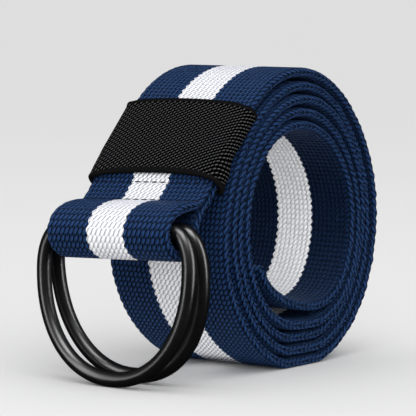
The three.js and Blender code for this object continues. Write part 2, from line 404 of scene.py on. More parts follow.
coil_rows = np.column_stack((coil_middle, np.full(len(coil_middle), STRAP_THICKNESS)))
last_cad_row = round(CAD_STEP / ANGLE_STEP)
front_rows = [coil_rows[-1 - last_cad_row], coil_rows[-1], *FRONT_PATH]
front_rows.append((*LOOP_PATH[0], STRAP_THICKNESS))
front_line = np.vstack((coil_rows[-1], curve_through(front_rows, 1, len(FRONT_PATH) + 1)))
front_normal = side_of(np.gradient(front_line[:, :2], axis=0))
behind_line = front_line.copy()
behind_line[:, :2] -= front_normal * (front_line[:, 2:3] + FOLD_BACK_GAP)
behind_line = behind_line[::-1]
covered = lengths_along(front_line[::-1, :2])
behind_line = behind_line[covered <= FOLD_BACK_LENGTH]
loop_rows = [FRONT_PATH[-2], front_line[-1], *[(*row, STRAP_THICKNESS) for row in LOOP_PATH]]
loop_rows += [behind_line[0], behind_line[CURVE_STEPS // 3]]
loop_line = curve_through(loop_rows, 1, len(LOOP_PATH) + 2)
whole_line = np.vstack((coil_rows, front_line[1:], loop_line[:-1], behind_line))
front_past = lengths_along(front_line[:, :2])
print("front runs", round(front_past[-1], 1), "mm, loop", round(lengths_along(loop_line)[-1], 1), "mm")

# %% [markdown]
# The line is cut into even steps, short enough to carry the small scallops of the woven
# edge. Each step keeps its place, its thickness and its twist. The turns of a rolled belt
# never line up exactly, so each one also stands a fraction of a millimetre to one side.

# %% Even stations along the strap
STATION_STEP = 0.62
WOBBLE = 0.35
WOBBLE_WAVES = [(1.0, 3.3, 0.8), (0.6, 7.7, 2.1)]
GROOVE_DEPTH = 0.3
GROOVE_WIDTH = 0.7
LOOSE_LENGTH = 80

line_length = lengths_along(whole_line[:, :2])
strap_length = line_length[-1]
station_count = int(strap_length / STATION_STEP)
along = np.linspace(0, strap_length, station_count)
station_x = np.interp(along, line_length, whole_line[:, 0])
station_z = np.interp(along, line_length, whole_line[:, 1])
thickness = np.interp(along, line_length, whole_line[:, 2])
middle = np.stack((station_x, station_z), -1)
normal = side_of(np.gradient(middle, axis=0))
coil_length = lengths_along(coil_middle)[-1]
past_coil = np.clip((along - coil_length) / KEEPER_LENGTH, 0, 1)
twist = np.radians(LOOP_TWIST) * past_coil**2 * (3 - 2 * past_coil)

turn_of = along / strap_length * 2 * math.pi
loose = np.clip((coil_length - along) / LOOSE_LENGTH, 0, 1)
waves = sum(size * np.sin(turn_of * count + start) for size, count, start in WOBBLE_WAVES)
sideways = WOBBLE * loose * waves

row_places = []
for x, z, _ in FRONT_PATH[-2:]:
    away = np.hypot(station_x - x, station_z - z)
    row_places.append(int(np.argmin(away)))
groove = np.zeros(station_count)
for place in row_places:
    groove += np.exp(-(((along - along[place]) / GROOVE_WIDTH) ** 2))
print("strap is", round(strap_length, 1), "mm long, in", station_count, "stations")

# %% [markdown]
# The strap's section is flat on both faces and round at both selvedges, the woven edges.
# Where the filling yarn turns back it makes a row of small scallops, which show in the
# outline, so they are real shape. Each point also gets a place on the cloth, in metres
# round the section and along the strap, and the weave is drawn from that.

# %% Webbing section
SELVEDGE_DEPTH = 1.25
FACE_POINTS = 6
EDGE_POINTS = 8

face_half = STRAP_WIDTH / 2 - SELVEDGE_DEPTH
round_length = math.pi * (SELVEDGE_DEPTH + STRAP_THICKNESS / 2) / 2
section_length = 4 * face_half + 2 * round_length
half_section = []
for i in range(FACE_POINTS):
    half_section.append((face_half * i / FACE_POINTS, math.pi / 2, face_half * i / FACE_POINTS))
for i in range(EDGE_POINTS + 1):
    share = i / EDGE_POINTS
    half_section.append((face_half, math.pi * (0.5 - share), face_half + round_length * share))
for i in range(1, FACE_POINTS + 1):
    across = face_half * (1 - i / FACE_POINTS)
    half_section.append((across, -math.pi / 2, face_half * 2 + round_length - across))
section = [(1, *row) for row in half_section] + [(-1, *row) for row in half_section[-2:0:-1]]
print("section has", len(section), "points and is", round(section_length, 1), "mm round")

# %% Scallops along both selvedges
SCALLOP_LENGTH = 2.77
SCALLOP_HEIGHT = 0.6
SCALLOP_LEAN = 0.35
SCALLOP_FULLNESS = 0.7
SCALLOP_SINK = 0.6
SCALLOP_SPREAD = 0.25
SCALLOP_SEED = 7

rng = np.random.default_rng(SCALLOP_SEED)
scallop_count = int(strap_length / SCALLOP_LENGTH) + 3
scallop_size = 1 + SCALLOP_SPREAD * rng.uniform(-1, 1, scallop_count)


def scallops(lean):
    """Rounded bumps along the strap, each a little different, shifted by a lean."""
    place = along / SCALLOP_LENGTH + lean
    size = scallop_size[np.clip(place.astype(int), 0, len(scallop_size) - 1)]
    return size * np.abs(np.sin(math.pi * place)) ** SCALLOP_FULLNESS - SCALLOP_SINK


def placed(centre, side, tilt, aside, across, off):
    """Points of the strap in metres, from across and off its middle line."""
    x = centre[:, 0] + side[:, 0] * off + shift_x
    z = centre[:, 1] + side[:, 1] * off - across * np.tan(tilt)
    return np.stack((x, across + aside + shift_y, z), -1) * MM


rings_of_points = []
for hand, across, turn, _ in section:
    half_a_scallop = 0.5 if hand > 0 else 0
    bump = SCALLOP_HEIGHT * math.cos(turn) * scallops(SCALLOP_LEAN * abs(turn) + half_a_scallop)
    reach = across + SELVEDGE_DEPTH * math.cos(turn) + bump
    off = math.sin(turn) * (thickness / 2 - GROOVE_DEPTH * groove * (turn > 0))
    rings_of_points.append(placed(middle, normal, twist, sideways, hand * reach, off))
strap_points = np.stack(rings_of_points, 1)
strap_points[..., 2] = np.maximum(strap_points[..., 2], 0)
print("strap has", strap_points.shape[0] * strap_points.shape[1], "points")

# %% [markdown]
# The strap, the keeper and the ring wires are all tubes: rings of points joined by quads.
# One helper makes them, closes the strap's two cut ends with caps, and keeps each corner's
# place round and along the tube in a UV map. A closed mesh encloses a positive volume when
# its faces point outwards, so the volume's sign shows whether a tube is inside out.

# %% Helpers for tubes of quads


def grid_mesh(name, points, u_pairs, v_values, closed_along=False):
    """A tube of quads from rings of points, with its places kept in a UV map."""
    steps, sides = points.shape[:2]
    rows = steps if closed_along else steps - 1
    i, j = np.meshgrid(np.arange(rows), np.arange(sides), indexing="ij")
    i, j = i.ravel(), j.ravel()
    next_i, next_j = (i + 1) % steps, (j + 1) % sides
    here, beyond = i * sides, next_i * sides
    faces = np.stack((here + j, here + next_j, beyond + next_j, beyond + j), -1).tolist()
    start, end = u_pairs[j, 0], u_pairs[j, 1]
    low, high = v_values[i], v_values[i + 1]
    uv = np.stack((start, low, end, low, end, high, start, high), -1).reshape(-1, 2).tolist()
    if not closed_along:
        half = sides // 2
        for ring, order in ((0, -1), (steps - 1, 1)):
            for hand in (1, -1):
                for k in range(half // 2):
                    corners = [(k, k), (k + 1, k + 1), (half - k - 1, k + 1), (half - k, k)]
                    corners = corners[:2] + corners[3:] if 2 * k + 2 == half else corners
                    corners = corners[:: order * hand]
                    faces.append([ring * sides + hand * corner % sides for corner, _ in corners])
                    uv += [(hand * u_pairs[outer, 0], v_values[ring]) for _, outer in corners]
    mesh = bpy.data.meshes.new(name)
    mesh.from_pydata(points.reshape(-1, 3).tolist(), [], faces)
    mesh.uv_layers.new(name="cloth_place")
    mesh.uv_layers[0].uv.foreach_set("vector", np.array(uv, np.float32).ravel())
    mesh.shade_smooth()
    return mesh


def turned_outwards(mesh):
    """Turns a closed mesh right side out if its volume says that it is inside out."""
    mesh.calc_loop_triangles()
    corners = np.zeros(len(mesh.vertices) * 3)
    mesh.vertices.foreach_get("co", corners)
    corners = corners.reshape(-1, 3)
    index = np.zeros(len(mesh.loop_triangles) * 3, int)
    mesh.loop_triangles.foreach_get("vertices", index)
    a, b, c = (corners[index.reshape(-1, 3)[:, k]] for k in range(3))
    volume = (a * np.cross(b, c)).sum() / 6
    if volume < 0:
        mesh.flip_normals()
    cm3 = round(abs(volume) * 1e6, 2)
    print(mesh.name, "volume", cm3, "cm3,", len(mesh.loop_triangles), "triangles")


# %% Webbing mesh
u_of = [row[3] * row[0] for row in section]
u_pairs = []
for k in range(len(section)):
    start, end = u_of[k], u_of[(k + 1) % len(section)]
    if k == len(half_section) - 1:
        start = -start
    u_pairs.append((start * MM, end * MM))
webbing_mesh = grid_mesh("webbing_cloth", strap_points, np.array(u_pairs), along * MM)
turned_outwards(webbing_mesh)
webbing = put("webbing_cloth", webbing_mesh)

# %% [markdown]
# The cloth is woven from thick cotton yarns that run along the strap in columns. A yarn
# shows as a row of short rounded floats, each slanted a little, with a small dark pit
# between one float and the next. The keeper's elastic shows finer and steeper floats, and
# its columns are shifted against each other by half a float. Both are lattices of rounded
# floats, so one node group draws them. It looks at the nearest column of even and of odd
# number, and gives the height of the float that is nearer.

# %% Node helpers


def set_or_link(tree, socket, value):
    """Gives a socket a plain value, or links it to another node's output."""
    if isinstance(value, bpy.types.NodeSocket):
        tree.links.new(value, socket)
    else:
        socket.default_value = value


def maths(tree, operation, *values):
    node = tree.nodes.new("ShaderNodeMath")
    node.operation = operation
    for socket, value in zip(node.inputs, values):
        set_or_link(tree, socket, value)
    return node.outputs[0]


def mixed(tree, factor, first, second, blend="MIX"):
    node = tree.nodes.new("ShaderNodeMix")
    node.data_type = "RGBA"
    node.blend_type = blend
    set_or_link(tree, node.inputs["Factor"], factor)
    set_or_link(tree, node.inputs["A"], first)
    set_or_link(tree, node.inputs["B"], second)
    return node.outputs["Result"]


def ranged(tree, value, low, high, new_low, new_high):
    """Turns a range of values smoothly into another range."""
    node = tree.nodes.new("ShaderNodeMapRange")
    node.interpolation_type = "SMOOTHSTEP"
    limits = {"From Min": low, "From Max": high, "To Min": new_low, "To Max": new_high}
    for name, limit in limits.items():
        node.inputs[name].default_value = limit
    tree.links.new(value, node.inputs["Value"])
    return node.outputs["Result"]


def new_group(name, inputs, outputs):
    tree = bpy.data.node_groups.new(name, "ShaderNodeTree")
    for socket_name, kind, value in inputs:
        socket = tree.interface.new_socket(socket_name, in_out="INPUT", socket_type=kind)
        if value is not None:
            socket.default_value = value
    for socket_name, kind in outputs:
        tree.interface.new_socket(socket_name, in_out="OUTPUT", socket_type=kind)
    entry = tree.nodes.new("NodeGroupInput")
    exit_node = tree.nodes.new("NodeGroupOutput")
    return tree, entry, exit_node


# %% Woven yarns group
FLOAT = "NodeSocketFloat"
VECTOR = "NodeSocketVector"
weave, weave_in, weave_out = new_group(
    "woven_yarns",
    [
        ("Cloth Place", VECTOR, None),
        ("Column Width", FLOAT, 0.0014),
        ("Float Length", FLOAT, 0.0019),
        ("Stagger", FLOAT, 0.0),
        ("Slant", FLOAT, -0.5),
        ("Lean", FLOAT, -0.5),
        ("Breadth", FLOAT, 0.53),
        ("Reach", FLOAT, 0.7),
        ("Unevenness", FLOAT, 0.1),
    ],
    [("Height", FLOAT)],
)
split = weave.nodes.new("ShaderNodeSeparateXYZ")
weave.links.new(weave_in.outputs["Cloth Place"], split.inputs[0])
in_columns = maths(weave, "DIVIDE", split.outputs["X"], weave_in.outputs["Column Width"])
in_floats = maths(weave, "DIVIDE", split.outputs["Y"], weave_in.outputs["Float Length"])
off_squares = []
for parity in (0, 1):
    offset = maths(weave, "SUBTRACT", in_columns, 0.5 + parity)
    pair = maths(weave, "MULTIPLY", maths(weave, "ROUND", maths(weave, "MULTIPLY", offset, 0.5)), 2)
    off_column = maths(weave, "SUBTRACT", offset, pair)
    column = maths(weave, "ADD", pair, parity)
    chance = weave.nodes.new("ShaderNodeTexWhiteNoise")
    chance.noise_dimensions = "1D"
    weave.links.new(column, chance.inputs["W"])
    stagger = maths(weave, "MULTIPLY", weave_in.outputs["Stagger"], parity)
    unevenness = weave_in.outputs["Unevenness"]
    jitter = maths(weave, "MULTIPLY_ADD", chance.outputs["Value"], unevenness, stagger)
    leaning = maths(weave, "MULTIPLY_ADD", off_column, weave_in.outputs["Lean"], jitter)
    place = maths(weave, "ADD", in_floats, leaning)
    off_float = maths(weave, "SUBTRACT", place, maths(weave, "ROUND", place))
    slanted = maths(weave, "MULTIPLY_ADD", off_float, weave_in.outputs["Slant"], off_column)
    breadth = maths(weave, "DIVIDE", slanted, weave_in.outputs["Breadth"])
    reach = maths(weave, "DIVIDE", off_float, weave_in.outputs["Reach"])
    reach_square = maths(weave, "MULTIPLY", reach, reach)
    off_squares.append(maths(weave, "MULTIPLY_ADD", breadth, breadth, reach_square))
nearest = maths(weave, "MINIMUM", *off_squares)
height = maths(weave, "SQRT", maths(weave, "MAXIMUM", maths(weave, "SUBTRACT", 1, nearest), 0))
weave.links.new(height, weave_out.inputs["Height"])
print("weave group has", len(weave.nodes), "nodes")

# %% [markdown]
# Spun cotton and knitted elastic both have loose fibres and take dye unevenly. A second
# small group gives both: a cloudy shade over some centimetres and fine fibre noise.

# %% Yarn unevenness group
FIBRE_SHADE = 0.3
NOISE_DETAIL = 3
yarn, yarn_in, yarn_out = new_group(
    "yarn_unevenness",
    [("Cloud Size", FLOAT, 90.0), ("Fibre Size", FLOAT, 2600.0), ("Cloudiness", FLOAT, 0.2)],
    [("Shade", FLOAT), ("Fibre", FLOAT)],
)
where = yarn.nodes.new("ShaderNodeTexCoord")
cloud = yarn.nodes.new("ShaderNodeTexNoise")
fibre = yarn.nodes.new("ShaderNodeTexNoise")
for noise, socket in ((cloud, "Cloud Size"), (fibre, "Fibre Size")):
    noise.inputs["Detail"].default_value = NOISE_DETAIL
    yarn.links.new(where.outputs["Object"], noise.inputs["Vector"])
    yarn.links.new(yarn_in.outputs[socket], noise.inputs["Scale"])
off_middle = maths(yarn, "SUBTRACT", cloud.outputs[0], 0.5)
swing = maths(yarn, "MULTIPLY", off_middle, yarn_in.outputs["Cloudiness"])
lowest_shade = maths(yarn, "ADD", swing, 1 - FIBRE_SHADE / 2)
cotton_shade = maths(yarn, "MULTIPLY_ADD", fibre.outputs[0], FIBRE_SHADE, lowest_shade)
yarn.links.new(cotton_shade, yarn_out.inputs["Shade"])
yarn.links.new(fibre.outputs[0], yarn_out.inputs["Fibre"])
print("yarn group has", len(yarn.nodes), "nodes")


def group_node(tree, group, **values):
    node = tree.nodes.new("ShaderNodeGroup")
    node.node_tree = group
    for name, value in values.items():
        set_or_link(tree, node.inputs[name.replace("_", " ")], value)
    return node


def bumped(tree, shader, height, distance):
    """Gives a shader a bump of a height."""
    bump = tree.nodes.new("ShaderNodeBump")
    bump.inputs["Distance"].default_value = distance
    bump.inputs["Strength"].default_value = 1
    tree.links.new(height, bump.inputs["Height"])
    tree.links.new(bump.outputs[0], shader.inputs["Normal"])


# %% [markdown]
# The webbing is dyed navy with one white stripe of eight columns down its middle, on both
# faces. Where white floats reach over navy ones, the stripe's border is a row of round
# bumps. Light falls on the rounded floats and hardly reaches the pits between them, so the
# colour gets darker with depth as well as the bump. At the selvedge the floats are longer
# and lean the other way past the edge, which gives the plaited look. The face that lies
# inside the roll has level rows, a deeper navy and a more even white: the deeper navy is
# painted shade, and the brighter, more even white is painted light.

# %% Webbing material
SECTION_COLUMNS = 56
STRIPE_COLUMNS = 8
COLUMN_WIDTH = section_length * MM / SECTION_COLUMNS
FACE_FLOAT = 1.55 * MM
EDGE_FLOAT = 2.1 * MM
FACE_SLANT, FACE_LEAN = -0.5, -0.2
EDGE_SLANT, EDGE_LEAN = -0.7, -0.5
PLAIT_SLANT, PLAIT_LEAN = 0.7, 0.5
INNER_FACE_SLANT, INNER_FACE_LEAN = -0.35, 0.0
NAVY_TOP = (0.0125, 0.039, 0.125, 1)
NAVY_PIT = (0.0003, 0.0007, 0.003, 1)
NAVY_SHEEN = (0.2, 0.42, 1.0, 1)
WHITE_TOP = (0.90, 0.90, 0.915, 1)
WHITE_PIT = (0.54, 0.54, 0.57, 1)
NAVY_FROM, NAVY_TO = 0.68, 1.0
WHITE_FROM, WHITE_TO = 0.0, 0.55
BORDER_WAVE = 0.45
BORDER_PERIOD = 2.2 * MM
# Painted shade darkens the navy of the inner face.
INNER_FACE_PAINTED_SHADE = 0.75
# Painted light lifts the white of the inner face.
INNER_FACE_PAINTED_LIGHT = 1.0
INNER_FACE_BLEND = 2
WHITE_PAINTED_LIGHT = (0.98, 0.98, 0.985, 1)
FIBRE_RELIEF = 0.12
WEAVE_DEPTH = 0.7 * MM


def place_on_cloth(tree):
    """The place on the cloth in metres, whole and as separate numbers."""
    place = tree.nodes.new("ShaderNodeUVMap")
    place.uv_map = "cloth_place"
    parts = tree.nodes.new("ShaderNodeSeparateXYZ")
    tree.links.new(place.outputs[0], parts.inputs[0])
    return place.outputs[0], parts


webbing_material, tree, shader = new_material("navy_webbing")
cloth_place, split = place_on_cloth(tree)
round_way = maths(tree, "ABSOLUTE", maths(tree, "DIVIDE", split.outputs["X"], COLUMN_WIDTH))
edge_column = SECTION_COLUMNS / 4
past_edge = maths(tree, "GREATER_THAN", round_way, edge_column)
near_edge = maths(tree, "COMPARE", round_way, edge_column, 1.0)
plaited = maths(tree, "MULTIPLY", near_edge, past_edge)
inner_face = maths(tree, "GREATER_THAN", round_way, edge_column + 1)


def changed_by_place(face, edge, plait, inner):
    """A number of the weave that is different at the selvedge, past it and on the inner face."""
    number = maths(tree, "MULTIPLY_ADD", near_edge, edge - face, face)
    number = maths(tree, "MULTIPLY_ADD", plaited, plait - edge, number)
    return maths(tree, "MULTIPLY_ADD", inner_face, inner - face, number)


slant = changed_by_place(FACE_SLANT, EDGE_SLANT, PLAIT_SLANT, INNER_FACE_SLANT)
lean = changed_by_place(FACE_LEAN, EDGE_LEAN, PLAIT_LEAN, INNER_FACE_LEAN)
float_length = maths(tree, "MULTIPLY_ADD", near_edge, EDGE_FLOAT - FACE_FLOAT, FACE_FLOAT)
floats = group_node(
    tree, weave, Cloth_Place=cloth_place, Column_Width=COLUMN_WIDTH,
    Float_Length=float_length, Slant=slant, Lean=lean,
)
uneven = group_node(tree, yarn)
navy_rise = ranged(tree, floats.outputs["Height"], NAVY_FROM, NAVY_TO, 0, 1)
white_rise = ranged(tree, floats.outputs["Height"], WHITE_FROM, WHITE_TO, 0, 1)
navy = mixed(tree, navy_rise, NAVY_PIT, NAVY_TOP)
white = mixed(tree, white_rise, WHITE_PIT, WHITE_TOP)
other_face = maths(tree, "SUBTRACT", SECTION_COLUMNS / 2, round_way)
wave = maths(tree, "SINE", maths(tree, "MULTIPLY", split.outputs["Y"], math.pi / BORDER_PERIOD))
bumps = maths(tree, "SUBTRACT", maths(tree, "ABSOLUTE", wave), 0.5)
border = maths(tree, "MULTIPLY_ADD", bumps, BORDER_WAVE, STRIPE_COLUMNS / 2)
in_stripe = maths(tree, "LESS_THAN", maths(tree, "MINIMUM", round_way, other_face), border)
inner_column = edge_column + INNER_FACE_BLEND
# Painted shade: the inner face's navy is darkened towards the pit colour.
inner_painted_shade = ranged(tree, round_way, edge_column, inner_column, 0, INNER_FACE_PAINTED_SHADE)
# Painted light: the inner face's white is lifted to a brighter, even white without pits.
inner_painted_light = ranged(tree, round_way, edge_column, inner_column, 0, INNER_FACE_PAINTED_LIGHT)
navy = mixed(tree, inner_painted_shade, navy, NAVY_PIT)
white = mixed(tree, inner_painted_light, white, WHITE_PAINTED_LIGHT)
dyed = mixed(tree, in_stripe, navy, white)
clouded = mixed(tree, 1, dyed, uneven.outputs["Shade"], "MULTIPLY")
tree.links.new(clouded, shader.inputs["Base Color"])
height = floats.outputs["Height"]
relief = maths(tree, "MULTIPLY_ADD", uneven.outputs["Fibre"], FIBRE_RELIEF, height)
bumped(tree, shader, relief, WEAVE_DEPTH)
shader.inputs["Roughness"].default_value = 0.6
shader.inputs["Specular IOR Level"].default_value = 0.15
shader.inputs["Specular Tint"].default_value = NAVY_SHEEN
shader.inputs["Sheen Weight"].default_value = 0.17
shader.inputs["Sheen Roughness"].default_value = 0.4
shader.inputs["Sheen Tint"].default_value = NAVY_SHEEN
webbing_mesh.materials.append(webbing_material)
print("columns are", round(COLUMN_WIDTH / MM, 2), "mm wide, webbing nodes:", len(tree.nodes))

# %% [markdown]
# The keeper is a wide band of black elastic pulled tight round the strap. It covers one
# layer above and two below, so it is thinner at the top. Both its rims are rolled, and its
# middle stands a little higher up the strap than its sides and corners. It follows the
# front layer's stations, and its section is a flat loop with round ends.

# %% Keeper mesh
KEEPER_WALL = 1.0
KEEPER_CLEARANCE = 0.3
KEEPER_ROUNDING = 1.0
SELVEDGE_SHOULDER = 0.8
DOUBLED_BELOW = 5.5
SINGLE_ABOVE = 10
RIM_BULGE = 0.28
RIM_LENGTH = 1.1
KEEPER_CROWN = 0.9
KEEPER_CORNER = 0.9
OUTLINE_SIDE = 24
OUTLINE_TURN = 14
WALL_STEPS = 48
RIM_STEPS = 8
LINING_STEPS = 16
OUTER_ROW = 10

past_front = along - coil_length


def station_at(distance):
    """Middle, normal and twist of the front layer at distances below the coil."""
    x = np.interp(distance, past_front, station_x)
    z = np.interp(distance, past_front, station_z)
    nx = np.interp(distance, past_front, normal[:, 0])
    nz = np.interp(distance, past_front, normal[:, 1])
    tilt = np.interp(distance, past_front, twist)
    return np.stack((x, z), -1), np.stack((nx, nz), -1), tilt


def band_outline():
    """Places round the band: share of the flat width, and turn of the round end."""
    places = []
    for side in (1, -1):
        for i in range(OUTLINE_SIDE):
            places.append((side * (i / OUTLINE_SIDE * 2 - 1), side * math.pi / 2))
        for i in range(OUTLINE_TURN):
            places.append((side, side * math.pi * (0.5 - i / OUTLINE_TURN)))
    return places


keeper_profile = []
for i in range(WALL_STEPS + 1):
    share = i / WALL_STEPS
    down = RIM_LENGTH / 2 + share * (KEEPER_LENGTH - RIM_LENGTH)
    from_rim = min(down, KEEPER_LENGTH - down)
    bulge = RIM_BULGE * math.exp(-((from_rim - RIM_LENGTH / 2) / RIM_LENGTH) ** 2 * 2)
    keeper_profile.append((down, KEEPER_WALL + bulge))
rim_wall = keeper_profile[0][1]
for i in range(1, RIM_STEPS):
    turn = math.pi * i / RIM_STEPS
    down = KEEPER_LENGTH - RIM_LENGTH / 2 + math.sin(turn) * RIM_LENGTH / 2
    keeper_profile.append((down, rim_wall * (0.5 + 0.5 * math.cos(turn))))
for i in range(LINING_STEPS + 1):
    down = KEEPER_LENGTH - RIM_LENGTH / 2 - i / LINING_STEPS * (KEEPER_LENGTH - RIM_LENGTH)
    keeper_profile.append((down, 0.0))
for i in range(1, RIM_STEPS):
    turn = math.pi * i / RIM_STEPS
    down = RIM_LENGTH / 2 - math.sin(turn) * RIM_LENGTH / 2
    keeper_profile.append((down, rim_wall * (0.5 - 0.5 * math.cos(turn))))

downs = np.array([row[0] for row in keeper_profile])
walls = np.array([row[1] for row in keeper_profile])
flat_half = STRAP_WIDTH / 2 - SELVEDGE_SHOULDER + KEEPER_CLEARANCE
keeper_rings = []
for share, turn in band_outline():
    crown = KEEPER_CROWN * share**2 + KEEPER_CORNER * share**6
    centre, side, tilt = station_at(downs + crown)
    above = np.clip((KEEPER_LENGTH - downs - DOUBLED_BELOW) / (SINGLE_ABOVE - DOUBLED_BELOW), 0, 1)
    doubled = 1 - above * above * (3 - 2 * above)
    front = STRAP_THICKNESS / 2 + KEEPER_CLEARANCE + walls
    rear = -front - doubled * (STRAP_THICKNESS + FOLD_BACK_GAP)
    across = share * flat_half + math.copysign(1, share) * math.cos(turn) * (KEEPER_ROUNDING + walls)
    off = (front + rear) / 2 + math.sin(turn) * (front - rear) / 2
    keeper_rings.append(placed(centre, side, tilt, 0 * downs, across, off))
keeper_points = np.stack(keeper_rings, 0)
outer_line = keeper_points[:, OUTER_ROW]
outline_past = lengths_along(np.vstack((outer_line, outer_line[:1])))
down_pairs = np.stack((downs, np.roll(downs, -1)), -1) * MM
keeper_mesh = grid_mesh("keeper_elastic", keeper_points, down_pairs, outline_past, closed_along=True)
turned_outwards(keeper_mesh)
keeper = put("keeper_elastic", keeper_mesh)
band_round = outline_past[-1]
print("keeper is", round(band_round / MM, 1), "mm round")

# %% [markdown]
# Elastic is knitted over rubber threads. It shows as level rows of small steep stitches,
# nearly black in the gaps, and its rims are folded over and plain. The gaps are the black
# of the elastic, darkened further with the depth of the weave as painted shade. The rows
# run round the band, so the columns of the weave group lie across the strap here.

# %% Elastic material
ELASTIC_COLUMN = 0.62 * MM
ELASTIC_FLOATS_ROUND = 50
ELASTIC_TOP = (0.078, 0.078, 0.081, 1)
ELASTIC_PIT = (0.0003, 0.0003, 0.0003, 1)
RIM_COLOUR = (0.0055, 0.0055, 0.0058, 1)
RIM_FROM, RIM_TO = 1.5, 1.1
KNIT_FROM, KNIT_TO = 0.4, 1.0
KNIT_FIBRE_RELIEF = 0.2
KNIT_DEPTH = 0.2 * MM

elastic_material, tree, shader = new_material("black_elastic")
cloth_place, split = place_on_cloth(tree)
floats = group_node(
    tree, weave, Cloth_Place=cloth_place, Column_Width=ELASTIC_COLUMN,
    Float_Length=band_round / ELASTIC_FLOATS_ROUND, Stagger=0.5, Slant=-2.4, Lean=0.0,
    Breadth=0.52, Reach=0.24, Unevenness=0.04,
)
uneven = group_node(tree, yarn)
half_keeper = KEEPER_LENGTH / 2
off_centre = maths(tree, "SUBTRACT", split.outputs["X"], half_keeper * MM)
from_middle = maths(tree, "ABSOLUTE", off_centre)
rim_from, rim_to = (half_keeper - RIM_FROM) * MM, (half_keeper - RIM_TO) * MM
in_rim = ranged(tree, from_middle, rim_from, rim_to, 0, 1)
knit_rise = ranged(tree, floats.outputs["Height"], KNIT_FROM, KNIT_TO, 0, 1)
# Painted shade: the knit darkens with the weave's depth towards the gaps.
knit = mixed(tree, knit_rise, ELASTIC_PIT, ELASTIC_TOP)
tree.links.new(mixed(tree, in_rim, knit, RIM_COLOUR), shader.inputs["Base Color"])
knit_relief = maths(tree, "MULTIPLY", floats.outputs["Height"], maths(tree, "SUBTRACT", 1, in_rim))
relief = maths(tree, "MULTIPLY_ADD", uneven.outputs["Fibre"], KNIT_FIBRE_RELIEF, knit_relief)
bumped(tree, shader, relief, KNIT_DEPTH)
shader.inputs["Roughness"].default_value = 0.7
shader.inputs["Specular IOR Level"].default_value = 0
keeper_mesh.materials.append(elastic_material)
print("elastic stitches:", ELASTIC_FLOATS_ROUND, "round the band, nodes:", len(tree.nodes))

# %% [markdown]
# Each D-ring is one bent and welded wire: a straight bar inside the loop, two shoulders and
# a full round bow. The wire is swept along that line with a round section. The rings stand
# where their joints are, one hanging a little forwards and one a little back.

# %% D-rings
WIRE_DIAMETER = 4
WIRE_SIDES = 24
RING_WIDTH = 50
RING_HEIGHT = 42.7
SHOULDER_WIDTH = 5.2
SHOULDER_HEIGHT = 10
BOW_FULLNESS = 2.15
SHOULDER_STEPS = 14
BOW_STEPS = 72
BAR_STEPS = 10
RING_LEAN = {"front": 3, "back": -5.5}


def ring_line():
    """Middle line of the wire: across and down from the middle of the bar."""
    half = (RING_WIDTH - WIRE_DIAMETER) / 2
    depth = RING_HEIGHT - WIRE_DIAMETER
    bar_end = half - SHOULDER_WIDTH
    points = []
    for i in range(SHOULDER_STEPS + 1):
        turn = math.pi / 2 * i / SHOULDER_STEPS
        down = SHOULDER_HEIGHT * (1 - math.cos(turn))
        points.append((bar_end + SHOULDER_WIDTH * math.sin(turn), down))
    for i in range(1, BOW_STEPS):
        turn = math.pi * i / BOW_STEPS
        cosine = math.cos(turn)
        across = math.copysign(abs(cosine) ** (2 / BOW_FULLNESS), cosine) * half
        down = SHOULDER_HEIGHT + math.sin(turn) ** (2 / BOW_FULLNESS) * (depth - SHOULDER_HEIGHT)
        points.append((across, down))
    points += [(-across, down) for across, down in points[SHOULDER_STEPS::-1]]
    for i in range(1, BAR_STEPS):
        points.append((bar_end * (2 * i / BAR_STEPS - 1), 0.0))
    return np.array(points)


def ring_mesh(name, lean, joint):
    """One ring, leaning at its joint and reaching down to the floor."""
    line = ring_line()
    ahead = np.roll(line, -1, 0) - np.roll(line, 1, 0)
    ahead /= np.linalg.norm(ahead, axis=1, keepdims=True)
    strands = []
    for k in range(WIRE_SIDES):
        turn = 2 * math.pi * k / WIRE_SIDES
        in_plane = WIRE_DIAMETER / 2 * math.cos(turn)
        through = np.full(len(line), WIRE_DIAMETER / 2 * math.sin(turn))
        across = line[:, 0] + ahead[:, 1] * in_plane
        down = line[:, 1] - ahead[:, 0] * in_plane
        strands.append(np.stack((through, across, -down), -1))
    points = np.stack(strands, 1) * MM
    twisted = Matrix.Rotation(math.radians(-LOOP_TWIST), 3, "X")
    leaning = Matrix.Rotation(math.radians(lean), 3, "Y")
    points = points @ np.array(twisted @ leaning).T
    points += np.array((joint["pos_m"][0], joint["pos_m"][1], -points[..., 2].min()))
    round_wire = np.linspace(0, math.pi * WIRE_DIAMETER * MM, WIRE_SIDES + 1)
    round_pairs = np.stack((round_wire[:-1], round_wire[1:]), -1)
    along_wire = lengths_along(np.vstack((line, line[:1]))) * MM
    print(name, "is bent from", round(along_wire[-1] / MM), "mm of wire")
    mesh = grid_mesh(name, points, round_pairs, along_wire, closed_along=True)
    turned_outwards(mesh)
    return mesh


joints = {joint["name"]: joint for joint in frame["joints"]}
rings = {}
for place, lean in RING_LEAN.items():
    name = "d_ring_" + place + "_wire"
    rings[place] = put(name, ring_mesh(name, lean, joints[place + "_ring_swing"]))

# %% [markdown]
# The rings are coated satin black. The coat is smooth and dark, with a very fine grain that
# spreads the highlights of the studio lamps, and it is rubbed slightly glossier in places.

# %% Ring material
GRAIN_SCALE, RUB_SCALE = 2200, 140
GRAIN_DEPTH = 0.004 * MM
RUB_FROM, RUB_TO = 0.3, 0.7
COAT_SMOOTHEST, COAT_ROUGHEST = 0.28, 0.35
COAT_DARK = (0.002, 0.002, 0.002, 1)
COAT_LIGHT = (0.004, 0.004, 0.004, 1)

